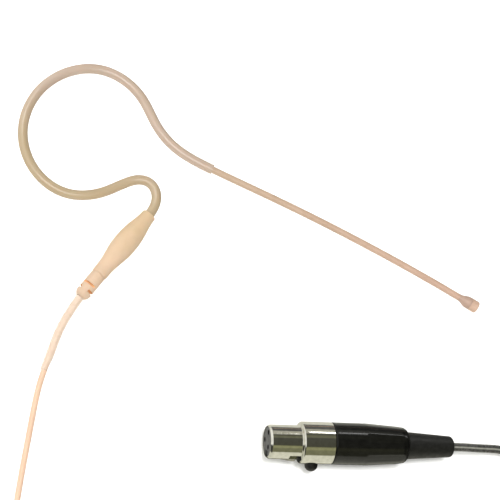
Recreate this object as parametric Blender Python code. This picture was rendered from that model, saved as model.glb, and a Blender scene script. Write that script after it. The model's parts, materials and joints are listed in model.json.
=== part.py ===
"""Single-ear headset microphone with its lead and mini-XLR plug, lying on a flat surface.

World axes: +Z up from the surface, +X from the ear loop towards the microphone tip.
The origin is on the surface, under the middle of the headset. Lengths are in millimetres
and turned into metres where each mesh is made.
"""
import math

import bmesh
import bpy
import numpy as np
from mathutils import Matrix, Vector

MM = 0.001

# ---- headset spine: one centreline from inside the moulded relief, round the ear, to the tip
LOOP_KNOTS = [
    (-35.3, -3.7), (-32.6, -0.6), (-30.9, 2.2), (-30.3, 5.6), (-31.9, 9.0), (-34.5, 10.1),
    (-39.1, 9.2), (-46.5, 6.2), (-57.1, 6.1), (-65.4, 12.4), (-68.9, 23.5), (-64.5, 36.1),
    (-54.6, 43.2), (-45.1, 44.0), (-36.7, 39.7), (-32.9, 35.1), (-29.2, 27.4), (-25.2, 21.8),
]
MOUTH = (-12.5, 13.7)
BOOM_KNOTS = [(10.9, 2.6), (32.9, -8.6), (54.9, -20.8), (63.7, -26.0)]
SPINE_RAMP = 26.0

LOOP_RADIUS = 1.45
LOOP_BORE = 1.2
LOOP_WIRE_RADIUS = 0.42
LOOP_LEAD_RADIUS = 0.32
LOOP_WIRE_OFFSET = -0.55
LOOP_LEAD_OFFSET = 0.60

# ---- boom: one thin tube with two bending places next to the mouth of the loop tube
BOOM_RADIUS = 1.03
BOOM_BORE = 0.70
BOOM_WIRE_RADIUS = 0.26
BOOM_LEAD_RADIUS = 0.22
BOOM_WIRE_OFFSET = -0.34
BOOM_LEAD_OFFSET = 0.36
STUB_DEPTH = 8.0
SWING_AT = 3.0
LIFT_AT = 9.0
BEND_GAP = 0.7

# ---- capsule, along the boom's end
CAPSULE_RADIUS = 1.88
CAPSULE_LENGTH = 6.7
FLARE_LENGTH = 3.2
CHAMBER_START = 2.5
CAP_START = 4.1
SPIGOT_RADIUS = 1.56
SPIGOT_END = 5.5
CAN_RADIUS = 1.26

# ---- moulded relief at the bottom of the ear loop, along its own sloping axis
RELIEF_START = (-32.77, -0.85)
RELIEF_HEADING = 229.0
RELIEF_LENGTH = 23.6
RELIEF_OUTLINE = [(0.0, 2.0), (0.25, 2.15), (2.7, 2.38), (5.4, 2.92), (8.1, 3.34), (11.0, 3.5),
                  (14.2, 3.36), (17.4, 2.84), (20.4, 2.42), (23.3, 2.36), (RELIEF_LENGTH, 2.2)]
RELIEF_RADIUS = 3.5
RIB_START = 23.9
RIB_END = 32.0
RIB_RADIUS = 2.2

# ---- lead and its sleeves
CORD_RADIUS = 0.85
SLEEVE_RADIUS = 1.22
SLEEVE_BORE = 1.04
DARK_SLEEVE_RADIUS = 1.25
DARK_SLEEVE_BORE = 1.02
DARK_SLEEVE_LENGTH = 21.0
TOUCH_GAP = 0.3
LEAD_KNOTS = [
    (-53.85, -25.15, 3.50), (-56.7, -29.1, 2.95), (-59.8, -34.4, 2.10), (-62.2, -40.2, 1.50),
    (-64.2, -45.3, 1.25), (-65.7, -49.6, 1.06), (-67.0, -54.6, 0.88), (-68.6, -62.0, 0.86),
    (-70.4, -70.4, 0.86), (-72.3, -80.0, 0.86), (-73.5, -88.0, 0.86), (-73.75, -94.5, 0.86),
]
TAIL_KNOTS = [
    (-53.4, -114.75, 5.60), (-46.0, -114.0, 4.80), (-37.0, -111.6, 2.60), (-27.0, -108.2, 1.00),
    (-8.0, -102.2, 0.86), (18.0, -97.4, 0.86), (46.0, -95.0, 0.86), (66.0, -94.8, 0.86),
    (77.6, -91.6, 0.86), (82.4, -84.4, 1.10), (79.8, -76.8, 2.00), (73.0, -73.4, 3.30),
    (65.0, -72.65, 4.85), (60.2, -72.28, 5.82), (55.7, -71.98, 6.12),
]
SLEEVE_END = 23.3
COIL_CENTRE = (-60.6, -101.6)
COIL_INNER = 5.9
COIL_OUTER = 14.0
COIL_HEIGHT = 6.9

# ---- plug: local +X runs from the mating face to the boot, local -Z is the latch side
PLUG_FACE = (-1.6, -68.32, 6.12)
PLUG_YAW = -3.65
PLUG_ROLL = -73.0
FRONT_RADIUS = 4.92
REAR_RADIUS = 6.08
FRONT_BORE = 4.42
REAR_BORE = 5.25
STEP_AT = 9.3
SHELL_END = 19.15
INSERT_RADIUS = 4.33
CONTACT_CENTRE = (0.35, 0.45)
CONTACT_CIRCLE = 2.45
CONTACT_ANGLES = {"1": 109.0, "2": 229.0, "3": 349.0}
CONTACT_RADIUS = 0.6
CONTACT_HOLE = 0.68
WINDOW_START = 6.6
WINDOW_END = 9.7
WINDOW_HALF_WIDTH = 3.5
NOSE_SLOT_START = 3.8
NOSE_SLOT_HALF_WIDTH = 1.3
BODY_START = 19.3
BODY_TAPER = 28.3
BODY_END = 42.3
BODY_RADIUS = 6.1
BODY_END_RADIUS = 5.2
BOOT_START = 42.55
BOOT_END = 57.1
BUTTON_AT = 13.85
BUTTON_RADIUS = 1.94
BUTTON_TOP = 8.4
LEVER_PIVOT = 24.0
LEVER_HEIGHT = 3.85
LEVER_THICKNESS = 0.35


# ------------------------------------------------------------------ scene and materials
def clear_scene():
    for old in list(bpy.data.objects):
        bpy.data.objects.remove(old, do_unlink=True)


def make_material(name, color, roughness, metallic=0.0):
    material = bpy.data.materials.new(name)
    material.use_nodes = True
    shader = material.node_tree.nodes["Principled BSDF"]
    shader.inputs["Base Color"].default_value = (*color, 1.0)
    shader.inputs["Roughness"].default_value = roughness
    shader.inputs["Metallic"].default_value = metallic
    return material


def add_object(name, mesh, look, place=Matrix.Identity(4)):
    """Link a mesh as a named object with its own material and smooth sides."""
    color, roughness, metallic = look
    mesh.materials.append(make_material(name, color, roughness, metallic))
    mesh.transform(place)
    mesh.shade_smooth()
    mesh.set_sharp_from_angle(angle=math.radians(35))
    piece = bpy.data.objects.new(name, mesh)
    bpy.context.collection.objects.link(piece)
    return piece


def hang_on(piece, pivot):
    """Give a moving piece its origin at a point of its joint's axis, in millimetres."""
    point = Vector(pivot) * MM
    piece.data.transform(Matrix.Translation(-point))
    piece.location = point


BEIGE_TUBE = ((0.58, 0.42, 0.27), 0.30, 0.0)
BEIGE_BOOM = ((0.64, 0.44, 0.30), 0.45, 0.0)
BEIGE_SHELL = ((0.60, 0.43, 0.30), 0.45, 0.0)
BEIGE_CAP = ((0.72, 0.48, 0.33), 0.40, 0.0)
PEACH_MOULDING = ((0.84, 0.62, 0.43), 0.50, 0.0)
PEACH_CABLE = ((0.90, 0.66, 0.45), 0.45, 0.0)
MILKY_SLEEVE = ((0.88, 0.72, 0.56), 0.25, 0.0)
STEEL_WIRE = ((0.60, 0.60, 0.60), 0.35, 1.0)
CAN_METAL = ((0.75, 0.75, 0.76), 0.30, 1.0)
BOARD_GREEN = ((0.05, 0.25, 0.12), 0.50, 0.0)
FELT_GREY = ((0.18, 0.17, 0.16), 0.90, 0.0)
COPPER = ((0.72, 0.42, 0.26), 0.35, 1.0)
NICKEL = ((0.68, 0.67, 0.60), 0.20, 1.0)
SPRING_STEEL = ((0.62, 0.61, 0.56), 0.25, 1.0)
GOLD = ((0.85, 0.65, 0.30), 0.25, 1.0)
INSERT_GREY = ((0.09, 0.09, 0.09), 0.55, 0.0)
BLACK_SHELL = ((0.015, 0.015, 0.015), 0.30, 0.0)
BLACK_RUBBER = ((0.02, 0.02, 0.02), 0.60, 0.0)
DARK_CABLE = ((0.10, 0.10, 0.10), 0.45, 0.0)


# ------------------------------------------------------------------ curves in space
class Route:
    """A smooth curve through given points, read by the distance run along it."""

    SAMPLES = 6000

    def __init__(self, knots):
        knots = np.array(knots, dtype=float)
        spans = np.linalg.norm(np.diff(knots, axis=0), axis=1)
        marks = np.concatenate(([0.0], np.cumsum(spans)))
        bends = self.natural_bends(knots, spans)
        along = np.linspace(0.0, marks[-1], self.SAMPLES)
        index = np.clip(np.searchsorted(marks, along, side="right") - 1, 0, len(spans) - 1)
        span = spans[index][:, None]
        after = (marks[index + 1] - along)[:, None]
        before = (along - marks[index])[:, None]
        self.points = (
            (bends[index] * after ** 3 + bends[index + 1] * before ** 3) / (6 * span)
            + (knots[index] / span - bends[index] * span / 6) * after
            + (knots[index + 1] / span - bends[index + 1] * span / 6) * before
        )
        steps = np.linalg.norm(np.diff(self.points, axis=0), axis=1)
        self.marks = np.concatenate(([0.0], np.cumsum(steps)))
        self.length = self.marks[-1]

    @staticmethod
    def natural_bends(knots, spans):
        """Second derivatives at the knots of the natural cubic spline through them."""
        count = len(knots)
        system = np.eye(count)
        pull = np.zeros_like(knots)
        for i in range(1, count - 1):
            system[i, i - 1] = spans[i - 1]
            system[i, i] = 2 * (spans[i - 1] + spans[i])
            system[i, i + 1] = spans[i]
            rise = (knots[i + 1] - knots[i]) / spans[i]
            pull[i] = 6 * (rise - (knots[i] - knots[i - 1]) / spans[i - 1])
        return np.linalg.solve(system, pull)

    def at(self, distance):
        return np.array([np.interp(distance, self.marks, axis) for axis in self.points.T])

    def heading(self, distance):
        reach = 0.05
        run = self.at(min(distance + reach, self.length)) - self.at(max(distance - reach, 0.0))
        return run / np.linalg.norm(run)

    def nearest(self, x, y):
        gaps = np.hypot(self.points[:, 0] - x, self.points[:, 1] - y)
        return self.marks[int(np.argmin(gaps))]

    def stretch(self, start, end, step, offset=0.0):
        """Points from start to end, moved sideways in the plane by offset."""
        count = max(2, int(round(abs(end - start) / step)) + 1)
        points = []
        for distance in np.linspace(start, end, count):
            ahead = self.heading(distance)
            sideways = np.array([-ahead[1], ahead[0], 0.0]) / math.hypot(ahead[0], ahead[1])
            points.append(self.at(distance) + sideways * offset)
        return points


def laid(points, radius):
    """Keep a soft tube's points at least its radius above the surface."""
    return [(x, y, max(z, radius)) for x, y, z in points]


def smooth_ramp(share):
    share = min(max(share, 0.0), 1.0)
    return share * share * (3 - 2 * share)


def headset_spine():
    """The headset's centreline, and the distance along it of the loop tube's mouth."""
    flat = [(x, y, 0.0) for x, y in LOOP_KNOTS + [MOUTH] + BOOM_KNOTS]
    plan = Route(flat)
    mouth = plan.nearest(*MOUTH)
    knots = []
    for x, y, _ in flat:
        distance = plan.nearest(x, y)
        drop = smooth_ramp(distance / SPINE_RAMP)
        low = RELIEF_RADIUS + (LOOP_RADIUS - RELIEF_RADIUS) * drop
        rise = (CAPSULE_RADIUS - LOOP_RADIUS) * max(0.0, distance - mouth) / (plan.length - mouth)
        knots.append((x, y, low + rise))
    spine = Route(knots)
    return spine, spine.nearest(*MOUTH)


# ------------------------------------------------------------------ mesh makers
def tube_rings(points, radius, sides):
    """Rings of points round a path, carried along it without twist."""
    points = [Vector(p) for p in points]
    side = None
    rings = []
    for i, point in enumerate(points):
        ahead = (points[min(i + 1, len(points) - 1)] - points[max(i - 1, 0)]).normalized()
        if side is None:
            side = ahead.cross(Vector((0, 0, 1))).normalized()
        side = (side - ahead * side.dot(ahead)).normalized()
        up = side.cross(ahead)
        angles = [2 * math.pi * k / sides for k in range(sides)]
        rings.append([point + side * radius * math.cos(a) - up * radius * math.sin(a) for a in angles])
    return rings


def mesh_from(name, points, faces):
    mesh = bpy.data.meshes.new(name)
    mesh.from_pydata([tuple(Vector(p) * MM) for p in points], [], faces)
    work = bmesh.new()
    work.from_mesh(mesh)
    bmesh.ops.recalc_face_normals(work, faces=work.faces)
    work.to_mesh(mesh)
    work.free()
    return mesh


def join_rings(rings, sides, closed):
    """Quads between successive rings; closed rings come back round to the first."""
    faces = []
    last = len(rings) if closed else len(rings) - 1
    for i in range(last):
        here = i * sides
        there = (i + 1) % len(rings) * sides
        for k in range(sides):
            after = (k + 1) % sides
            faces.append((here + k, here + after, there + after, there + k))
    return faces


def tube_mesh(name, path, radius, sides, bore=None):
    """A tube along a path: a rod without a bore, or a pipe open at both ends with one."""
    rings = tube_rings(path, radius, sides)
    if bore is not None:
        rings += tube_rings(path, bore, sides)[::-1]
    points = [p for ring in rings for p in ring]
    faces = join_rings(rings, sides, closed=bore is not None)
    if bore is None:
        faces.append(tuple(range(sides)))
        faces.append(tuple(range(len(points) - sides, len(points))))
    return mesh_from(name, points, faces)


def turned_mesh(name, outline, sides):
    """A turned solid about +X from (along, radius) points.

    An outline that starts and ends on the axis makes a solid piece. Any other outline
    is taken as a closed section, and makes a piece with a hole right through.
    """
    on_axis = outline[0][1] == 0.0
    rim = outline[1:-1] if on_axis else outline
    points = []
    for along, radius in rim:
        for k in range(sides):
            angle = 2 * math.pi * k / sides
            points.append((along, radius * math.cos(angle), radius * math.sin(angle)))
    rings = [None] * len(rim)
    faces = join_rings(rings, sides, closed=not on_axis)
    if on_axis:
        last = (len(rim) - 1) * sides
        first_centre = len(points)
        points += [(outline[0][0], 0.0, 0.0), (outline[-1][0], 0.0, 0.0)]
        for k in range(sides):
            after = (k + 1) % sides
            faces.append((first_centre, k, after))
            faces.append((first_centre + 1, last + k, last + after))
    return mesh_from(name, points, faces)


def box_mesh(name, low, high):
    corners = [(x, y, z) for x in (low[0], high[0]) for y in (low[1], high[1]) for z in (low[2], high[2])]
    faces = [(0, 1, 3, 2), (4, 6, 7, 5), (0, 4, 5, 1), (2, 3, 7, 6), (0, 2, 6, 4), (1, 5, 7, 3)]
    return mesh_from(name, corners, faces)


def prism_mesh(name, outline, half_width):
    """A flat outline of (along, height) points, made 2 x half_width thick across Y."""
    count = len(outline)
    points = [(a, -half_width, h) for a, h in outline] + [(a, half_width, h) for a, h in outline]
    faces = [tuple(range(count)), tuple(range(count, 2 * count))]
    for k in range(count):
        after = (k + 1) % count
        faces.append((k, after, count + after, count + k))
    return mesh_from(name, points, faces)


def cut_away(piece, cutter_meshes, place):
    """Subtract each cutter from a piece."""
    for mesh in cutter_meshes:
        mesh.transform(place)
        cutter = bpy.data.objects.new(mesh.name, mesh)
        bpy.context.collection.objects.link(cutter)
        cutter.hide_render = True
        cutter.display_type = "WIRE"
        cut = piece.modifiers.new(mesh.name, "BOOLEAN")
        cut.operation = "DIFFERENCE"
        cut.object = cutter


def aimed(origin, direction, roll_degrees=0.0):
    """A frame at origin, in millimetres, whose +X is direction and whose +Z leans up."""
    x_axis = Vector(direction).normalized()
    y_axis = Vector((0, 0, 1)).cross(x_axis).normalized()
    z_axis = x_axis.cross(y_axis)
    turn = Matrix((x_axis, y_axis, z_axis)).transposed().to_4x4()
    roll = Matrix.Rotation(math.radians(roll_degrees), 4, "X")
    return Matrix.Translation(Vector(origin) * MM) @ turn @ roll


def cord_curve(name, path, radius, look):
    """A plain round cord: a poly curve with a round bevel and filled ends."""
    curve = bpy.data.curves.new(name, "CURVE")
    curve.dimensions = "3D"
    curve.bevel_depth = radius * MM
    curve.bevel_resolution = 2
    curve.use_fill_caps = True
    spline = curve.splines.new("POLY")
    spline.points.add(len(path) - 1)
    for point, place in zip(spline.points, path):
        point.co = (*(Vector(place) * MM), 1.0)
    color, roughness, metallic = look
    curve.materials.append(make_material(name, color, roughness, metallic))
    cord = bpy.data.objects.new(name, curve)
    bpy.context.collection.objects.link(cord)
    return cord


# ------------------------------------------------------------------ headset
def build_ear_loop(spine, mouth):
    tube_step = 2.3
    core_start = 1.0
    core_end = mouth - STUB_DEPTH - 1.0
    loop = tube_mesh("ear_loop_tube", spine.stretch(0.0, mouth, tube_step), LOOP_RADIUS, 12, LOOP_BORE)
    add_object("ear_loop_tube", loop, BEIGE_TUBE)
    cores = [("ear_loop_wire", LOOP_WIRE_RADIUS, LOOP_WIRE_OFFSET, STEEL_WIRE),
             ("ear_loop_lead", LOOP_LEAD_RADIUS, LOOP_LEAD_OFFSET, PEACH_CABLE)]
    for name, radius, offset, look in cores:
        path = spine.stretch(core_start, core_end, tube_step, offset)
        add_object(name, tube_mesh(name, path, radius, 6), look)


def build_boom(spine, mouth):
    half_gap = BEND_GAP / 2
    stub_end = mouth + SWING_AT - half_gap
    neck = (mouth + SWING_AT + half_gap, mouth + LIFT_AT - half_gap)
    boom = (mouth + LIFT_AT + half_gap, spine.length - 0.1)
    swing_pivot = spine.at(mouth + SWING_AT)
    lift_pivot = spine.at(mouth + LIFT_AT)

    path = spine.stretch(mouth - STUB_DEPTH, stub_end, 2.1)
    add_object("boom_root_tube", tube_mesh("boom_root_tube", path, BOOM_RADIUS, 12, BOOM_BORE), BEIGE_BOOM)
    path = spine.stretch(*neck, 1.8)
    piece = add_object("boom_neck_tube", tube_mesh("boom_neck_tube", path, BOOM_RADIUS, 12, BOOM_BORE),
                       BEIGE_BOOM)
    hang_on(piece, swing_pivot)
    path = spine.stretch(*boom, 5.0)
    piece = add_object("boom_tube", tube_mesh("boom_tube", path, BOOM_RADIUS, 12, BOOM_BORE), BEIGE_BOOM)
    hang_on(piece, lift_pivot)
    cores = [("boom_wire", BOOM_WIRE_RADIUS, BOOM_WIRE_OFFSET, STEEL_WIRE),
             ("boom_lead", BOOM_LEAD_RADIUS, BOOM_LEAD_OFFSET, PEACH_CABLE)]
    for name, radius, offset, look in cores:
        path = spine.stretch(boom[0] + 0.5, boom[1] - 0.5, 5.0, offset)
        piece = add_object(name, tube_mesh(name, path, radius, 6), look)
        hang_on(piece, lift_pivot)


def build_capsule(spine, mouth):
    """Housing with the electret can and its board, and a cap with the screen inside it."""
    sides = 20
    tip = spine.at(spine.length)
    frame = aimed(tip, spine.heading(spine.length))
    lift_pivot = spine.at(mouth + LIFT_AT)
    bore = SPIGOT_RADIUS - 0.2
    housing = [(0.0, BOOM_RADIUS), (0.9, 1.17), (1.7, 1.45), (2.5, 1.74), (FLARE_LENGTH, CAPSULE_RADIUS),
               (CAP_START - 0.08, CAPSULE_RADIUS), (CAP_START - 0.08, SPIGOT_RADIUS),
               (SPIGOT_END, SPIGOT_RADIUS), (SPIGOT_END, bore), (CHAMBER_START, bore),
               (CHAMBER_START, 0.45), (0.0, 0.45)]
    can = [(5.35, 0.0), (5.35, 0.7), (5.4, 1.1), (5.3, CAN_RADIUS), (3.5, CAN_RADIUS), (3.5, 0.0)]
    board = [(3.2, 0.0), (3.2, 1.2), (2.8, 1.2), (2.8, 0.0)]
    cap = [(CAP_START, SPIGOT_RADIUS + 0.06), (CAP_START, CAPSULE_RADIUS), (5.95, CAPSULE_RADIUS),
           (6.35, 1.76), (6.6, 1.5), (CAPSULE_LENGTH, 1.2), (CAPSULE_LENGTH, 0.55), (6.05, 0.55),
           (6.05, SPIGOT_RADIUS + 0.06)]
    screen = [(5.95, 0.0), (5.95, 1.4), (5.7, 1.4), (5.7, 0.0)]
    cap_pivot = tip + spine.heading(spine.length) * CAP_START
    pieces = [("capsule_housing", housing, BEIGE_SHELL, lift_pivot),
              ("electret_can", can, CAN_METAL, lift_pivot),
              ("electret_board", board, BOARD_GREEN, lift_pivot),
              ("capsule_cap", cap, BEIGE_CAP, cap_pivot),
              ("capsule_screen", screen, FELT_GREY, cap_pivot)]
    for name, outline, look, pivot in pieces:
        piece = add_object(name, turned_mesh(name, outline, sides), look, frame)
        hang_on(piece, pivot)


def relief_frame():
    heading = math.radians(RELIEF_HEADING)
    return aimed((*RELIEF_START, RELIEF_RADIUS), (math.cos(heading), math.sin(heading), 0.0))


def build_relief():
    """Overmoulded body, the crimp inside it, and the slotted strain relief below it."""
    frame = relief_frame()
    socket_end = 4.6
    cavity_end = 14.6
    cable_bore = 1.1
    body = RELIEF_OUTLINE + [(RELIEF_LENGTH, cable_bore), (cavity_end, cable_bore), (cavity_end, 1.62),
                             (socket_end, 1.62), (socket_end - 2.2, 1.72), (0.3, 1.86), (0.0, 1.92)]
    add_object("relief_body", turned_mesh("relief_body", body, 24), PEACH_MOULDING, frame)
    ferrule = [(5.0, 0.95), (5.0, 1.35), (13.2, 1.35), (13.2, 0.95)]
    add_object("crimp_ferrule", turned_mesh("crimp_ferrule", ferrule, 16), COPPER, frame)
    cable = [(5.8, 0.0), (5.8, CORD_RADIUS), (RIB_END - TOUCH_GAP, CORD_RADIUS), (RIB_END - TOUCH_GAP, 0.0)]
    add_object("cable_root", turned_mesh("cable_root", cable, 8), PEACH_CABLE, frame)

    ribs = [(RIB_START, cable_bore), (RIB_START, 2.0), (RIB_START + 0.3, RIB_RADIUS),
            (28.8, RIB_RADIUS), (30.6, 2.28), (31.4, 2.0), (31.85, 1.62), (RIB_END, 1.36),
            (RIB_END, cable_bore)]
    strain = add_object("strain_relief", turned_mesh("strain_relief", ribs, 24), PEACH_MOULDING, frame)
    slot_floor = 0.95
    reach = RIB_RADIUS + 0.6
    slot_roll = math.radians(17.0)
    cutters = []
    for along, width, turn in [(27.8, 0.7, 0.0), (29.7, 0.9, math.pi / 2)]:
        for side in (0.0, math.pi):
            slot = box_mesh(f"slot_{along}_{side}", (along - width / 2, -reach, slot_floor),
                            (along + width / 2, reach, reach))
            slot.transform(Matrix.Rotation(slot_roll + turn + side, 4, "X"))
            cutters.append(slot)
    cut_away(strain, cutters, frame)


def build_lead():
    """The lead: a sleeved start, the run to the coil, the coil, and the run to the plug."""
    lead = Route(LEAD_KNOTS)
    sleeve_path = lead.stretch(TOUCH_GAP, SLEEVE_END, 2.4)
    sleeve = tube_mesh("cable_sleeve", sleeve_path, SLEEVE_RADIUS, 12, SLEEVE_BORE)
    add_object("cable_sleeve", sleeve, MILKY_SLEEVE)
    lead_path = laid(lead.stretch(TOUCH_GAP, lead.length, 2.6), CORD_RADIUS)
    cord_curve("cord_lead", lead_path, CORD_RADIUS, PEACH_CABLE)

    rim = 1.2
    low = 0.02
    section = [(low, COIL_INNER + rim), (low, COIL_OUTER - rim), (low + rim, COIL_OUTER),
               (COIL_HEIGHT - rim, COIL_OUTER), (COIL_HEIGHT, COIL_OUTER - rim),
               (COIL_HEIGHT, COIL_INNER + rim), (COIL_HEIGHT - rim, COIL_INNER), (low + rim, COIL_INNER)]
    upright = Matrix.Translation((COIL_CENTRE[0] * MM, COIL_CENTRE[1] * MM, 0)) @ Matrix.Rotation(
        -math.pi / 2, 4, "Y")
    add_object("cord_coil", turned_mesh("cord_coil", section, 32), PEACH_CABLE, upright)

    tail = Route(TAIL_KNOTS)
    tail_path = laid(tail.stretch(0.0, tail.length, 3.1), CORD_RADIUS)
    cord_curve("cord_tail", tail_path, CORD_RADIUS, PEACH_CABLE)
    dark_path = tail.stretch(tail.length - DARK_SLEEVE_LENGTH, tail.length, 2.1)
    sleeve = tube_mesh("plug_cable_sleeve", dark_path, DARK_SLEEVE_RADIUS, 12, DARK_SLEEVE_BORE)
    add_object("plug_cable_sleeve", sleeve, DARK_CABLE)


# ------------------------------------------------------------------ plug
def plug_frame():
    yaw = math.radians(PLUG_YAW)
    return aimed(PLUG_FACE, (math.cos(yaw), math.sin(yaw), 0.0), PLUG_ROLL)


def build_plug_shell(frame):
    """Nickel barrel: thin front, wider rear, a window for the latch hook, a button hole."""
    outline = [(0.0, FRONT_BORE), (0.0, FRONT_BORE + 0.12), (0.72, FRONT_RADIUS), (STEP_AT, FRONT_RADIUS),
               (STEP_AT + 0.9, REAR_RADIUS), (SHELL_END - 0.2, REAR_RADIUS), (SHELL_END, REAR_RADIUS - 0.2),
               (SHELL_END, REAR_BORE), (STEP_AT + 0.7, REAR_BORE), (STEP_AT + 0.7, FRONT_BORE)]
    shell = add_object("plug_shell", turned_mesh("plug_shell", outline, 36), NICKEL, frame)
    window = box_mesh("latch_window", (WINDOW_START, -WINDOW_HALF_WIDTH, -8.0),
                      (WINDOW_END, WINDOW_HALF_WIDTH, -3.5))
    nose_slot = box_mesh("nose_slot", (NOSE_SLOT_START, -NOSE_SLOT_HALF_WIDTH, -8.0),
                         (WINDOW_START + 0.5, NOSE_SLOT_HALF_WIDTH, -3.87))
    clear = BUTTON_RADIUS + 0.12
    hole = turned_mesh("button_hole", [(-9.0, 0.0), (-9.0, clear), (-3.0, clear), (-3.0, 0.0)], 20)
    hole.transform(Matrix.Translation((BUTTON_AT * MM, 0, 0)) @ Matrix.Rotation(-math.pi / 2, 4, "Y"))
    cut_away(shell, [window, nose_slot, hole], frame)


def build_insert(frame):
    """Insulator with three through holes, a key notch and the latch's channel."""
    flange = 4.95
    outline = [(0.12, 0.0), (0.12, INSERT_RADIUS), (STEP_AT + 0.95, INSERT_RADIUS),
               (STEP_AT + 0.95, flange), (STEP_AT + 1.6, flange), (STEP_AT + 1.6, 0.0)]
    insert = add_object("plug_insert", turned_mesh("plug_insert", outline, 36), INSERT_GREY, frame)
    cutters = [box_mesh("latch_channel", (-1.0, -1.25, -6.0), (13.0, 1.25, -2.55)),
               box_mesh("hook_pocket", (WINDOW_START - 0.2, -3.25, -6.0), (WINDOW_END + 0.2, 3.25, -2.9))]
    key_angle = math.radians(175.0)
    key = box_mesh("key_notch", (-1.0, 3.75, -0.4), (13.0, 6.0, 0.4))
    key.transform(Matrix.Rotation(key_angle, 4, "X"))
    cutters.append(key)
    for label, degrees in CONTACT_ANGLES.items():
        angle = math.radians(degrees)
        bore = [(-1.0, 0.0), (-1.0, CONTACT_HOLE), (13.0, CONTACT_HOLE), (13.0, 0.0)]
        hole = turned_mesh(f"contact_hole_{label}", bore, 14)
        hole.transform(Matrix.Translation(contact_offset(angle) * MM))
        cutters.append(hole)
    cut_away(insert, cutters, frame)


def contact_offset(angle):
    across, up = CONTACT_CENTRE
    return Vector((0.0, across + CONTACT_CIRCLE * math.cos(angle), up + CONTACT_CIRCLE * math.sin(angle)))


def build_contacts(frame):
    """Socket contacts, and the conductor that is soldered into each one's back."""
    cup_end = 13.4
    socket = [(6.6, 0.0), (6.6, 0.40), (1.95, 0.40), (1.8, 0.50), (1.8, CONTACT_RADIUS),
              (11.4, CONTACT_RADIUS), (11.4, 0.46), (cup_end, 0.46), (cup_end, 0.32), (11.9, 0.32),
              (11.9, 0.0)]
    for label, degrees in CONTACT_ANGLES.items():
        angle = math.radians(degrees)
        offset = contact_offset(angle)
        name = f"contact_{label}"
        place = frame @ Matrix.Translation(offset * MM)
        add_object(name, turned_mesh(name, socket, 12), GOLD, place)
        wire = [(12.2, 1.0), (14.0, 1.0), (17.5, 1.0), (21.5, 0.78), (25.0, 0.45), (29.0, 0.24),
                (31.2, 0.2)]
        path = [Vector((a, 0, 0)) + offset * share for a, share in wire]
        name = f"plug_lead_{label}"
        add_object(name, tube_mesh(name, path, 0.24, 8), PEACH_CABLE, frame)


def build_latch(frame):
    """Spring lever with the hook, and the button that pushes it in."""
    top = -(LEVER_HEIGHT + LEVER_THICKNESS / 2)
    low = -(LEVER_HEIGHT - LEVER_THICKNESS / 2)
    hook_tip = -5.5
    outline = [(7.0, low), (6.6, -4.3), (4.4, -4.5), (4.15, -4.72), (4.35, -4.98), (7.6, hook_tip),
               (8.5, hook_tip), (9.0, -4.9), (9.2, top), (LEVER_PIVOT + 0.3, top), (LEVER_PIVOT + 0.3, low)]
    pivot = frame @ Vector((LEVER_PIVOT * MM, 0, -LEVER_HEIGHT * MM))
    lever = add_object("latch_lever", prism_mesh("latch_lever", outline, 1.05), SPRING_STEEL, frame)
    hang_on(lever, pivot / MM)

    foot = LEVER_HEIGHT + LEVER_THICKNESS / 2 + 0.06
    dome_base = BUTTON_TOP - BUTTON_RADIUS
    button = [(foot, 0.0), (foot, 0.7), (foot + 0.25, 0.95), (foot + 0.25, 2.2), (foot + 0.55, 2.2),
              (foot + 0.55, BUTTON_RADIUS)]
    dome_steps = 6
    for k in range(dome_steps):
        angle = math.pi / 2 * k / dome_steps
        button.append((dome_base + BUTTON_RADIUS * math.sin(angle), BUTTON_RADIUS * math.cos(angle)))
    button.append((BUTTON_TOP, 0.0))
    mesh = turned_mesh("latch_button", button, 20)
    mesh.transform(Matrix.Translation((BUTTON_AT * MM, 0, 0)) @ Matrix.Rotation(math.pi / 2, 4, "Y"))
    piece = add_object("latch_button", mesh, BLACK_RUBBER, frame)
    hang_on(piece, frame @ Vector((BUTTON_AT * MM, 0, -foot * MM)) / MM)


def build_plug_rear(frame):
    """Black screwed-on body, the cable clamp, the boot and the cable's end inside them."""
    spigot = REAR_BORE - 0.15
    inner = 4.6
    body = [(16.9, inner), (16.9, spigot), (BODY_START, spigot), (BODY_START, BODY_RADIUS),
            (BODY_TAPER, BODY_RADIUS), (BODY_END - 0.8, BODY_END_RADIUS + 0.03), (BODY_END - 0.35, 5.02),
            (BODY_END - 0.05, 4.65), (BODY_END, 4.2), (BODY_END, 3.95), (40.6, 3.95), (40.6, inner)]
    add_object("plug_body", turned_mesh("plug_body", body, 32), BLACK_SHELL, frame)

    bore = 1.1
    boot = [(38.4, bore), (38.4, 4.4), (40.2, 4.4), (40.2, 3.75), (BOOT_START, 3.75), (BOOT_START, 4.05),
            (BOOT_START + 0.4, 4.05), (BOOT_END - 0.8, 3.08), (BOOT_END - 0.2, 2.75), (BOOT_END, 2.2),
            (BOOT_END, bore)]
    add_object("plug_boot", turned_mesh("plug_boot", boot, 28), BLACK_RUBBER, frame)

    clamp_bore = CORD_RADIUS + 0.1
    clamp = [(32.6, clamp_bore), (32.6, 2.6), (33.4, 4.3), (37.6, 4.3), (38.0, 3.9), (38.0, clamp_bore)]
    collet = add_object("cable_clamp", turned_mesh("cable_clamp", clamp, 24), INSERT_GREY, frame)
    slits = [box_mesh("clamp_slit_a", (31.0, -0.35, 1.4), (36.0, 0.35, 6.0)),
             box_mesh("clamp_slit_b", (31.0, -0.35, -6.0), (36.0, 0.35, -1.4))]
    cut_away(collet, slits, frame)

    cable = [(31.8, 0.0), (31.8, CORD_RADIUS), (BOOT_END - 0.1, CORD_RADIUS), (BOOT_END - 0.1, 0.0)]
    add_object("plug_cable_end", turned_mesh("plug_cable_end", cable, 8), PEACH_CABLE, frame)


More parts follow.
